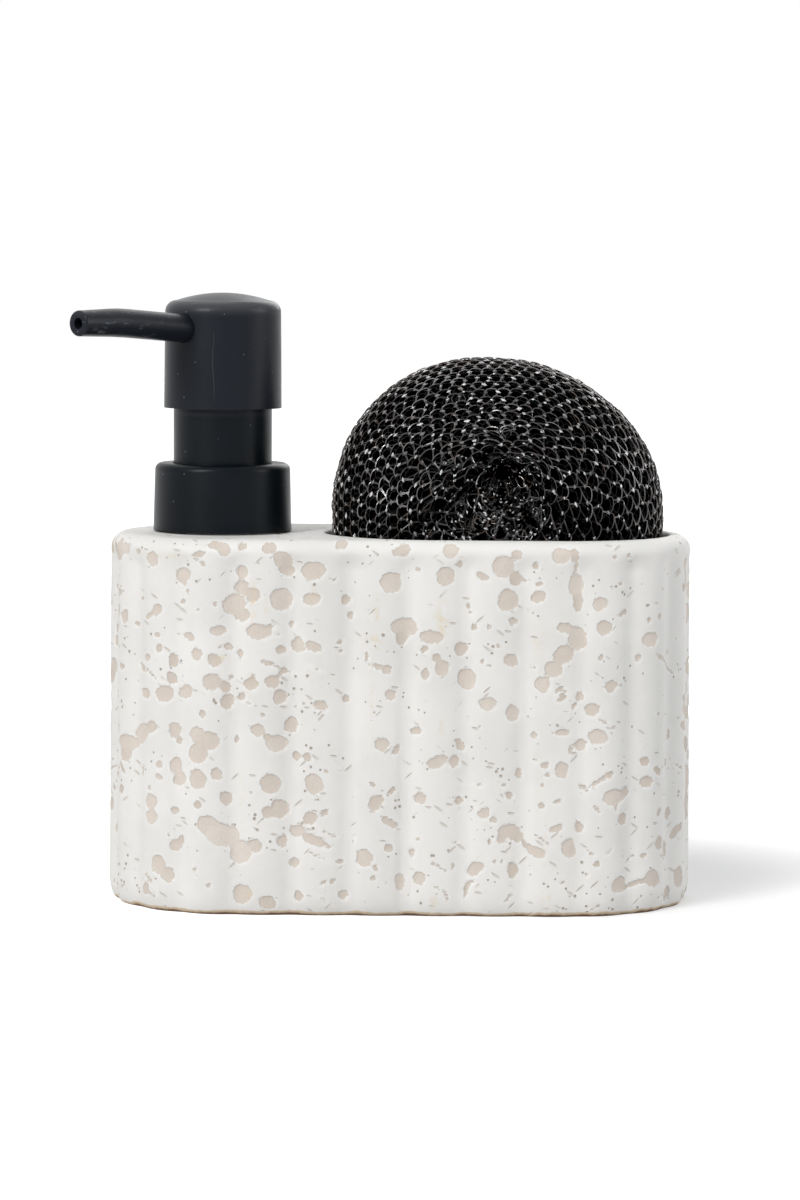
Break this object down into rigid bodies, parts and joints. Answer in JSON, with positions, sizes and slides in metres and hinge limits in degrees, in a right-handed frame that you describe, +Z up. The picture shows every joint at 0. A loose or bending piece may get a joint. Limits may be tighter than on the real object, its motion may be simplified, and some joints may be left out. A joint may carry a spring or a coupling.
{
  "type": "soap pump caddy",
  "caption": "Ribbed ceramic countertop caddy with a soap reservoir, a screw-on black lotion pump and an open pocket that holds a knitted scourer on edge.",
  "frame": {"origin": "middle of the ceramic body's flat underside", "axes": "+Z up, +X along the body towards the scourer pocket, -Y towards the front; the spout points to the left and forwards at rest"},
  "size_m": [0.1615, 0.0774, 0.16],
  "materials": {
    "ceramic": "matte",
    "inner_plastic": "satin",
    "piston_plastic": "satin",
    "bond": "satin",
    "gasket": "matte",
    "black_plastic": "matte",
    "steel": "satin",
    "mesh": "satin"
  },
  "bodies": {
    "caddy": {"caddy_body": "ceramic", "neck_insert": "inner_plastic", "insert_seal": "bond"},
    "pump_unit": {"pump_housing": "inner_plastic", "chaplet": "inner_plastic", "neck_sleeve": "black_plastic", "ball_cage": "inner_plastic", "neck_gasket": "gasket", "dip_tube": "inner_plastic", "return_spring": "steel"},
    "collar": {"collar_shell": "black_plastic", "collar_liner": "black_plastic"},
    "piston": {"piston": "piston_plastic"},
    "head": {"head_shell": "black_plastic", "head_core": "black_plastic", "spout": "black_plastic", "stem": "inner_plastic", "piston_rod": "inner_plastic"},
    "inlet_ball": {"valve_ball": "steel"},
    "scourer": {"scourer_pad": "mesh"}
  },
  "joints": [
    {"name": "pump_rise", "type": "slide", "parent": "caddy", "child": "pump_unit", "axis": [0, 0, 1], "range_m": [0, 0.00477]},
    {"name": "collar_turn", "type": "hinge", "parent": "pump_unit", "child": "collar", "pos_m": [-0.0472, 0, 0.1065], "axis": [0, 0, 1], "range_deg": [0, 540]},
    {"name": "pump_stroke", "type": "slide", "parent": "pump_unit", "child": "piston", "axis": [0, 0, 1], "range_m": [-0.014, 0], "stiffness_N_per_m": 700, "springref_m": 0.008, "deforming": ["return_spring"]},
    {"name": "spout_swivel", "type": "hinge", "parent": "piston", "child": "head", "pos_m": [-0.0472, 0, 0.145], "axis": [0, 0, 1], "continuous": true},
    {"name": "inlet_ball_lift", "type": "slide", "parent": "pump_unit", "child": "inlet_ball", "axis": [0, 0, 1], "range_m": [0, 0.0012]},
    {"name": "scourer_lift", "type": "slide", "parent": "caddy", "child": "scourer", "axis": [0, 0, 1], "range_m": [0, 0.1]}
  ],
  "couplings": [
    {"joint": "collar_turn", "follows": "pump_rise", "rad_per_m": 1975.8}
  ]
}
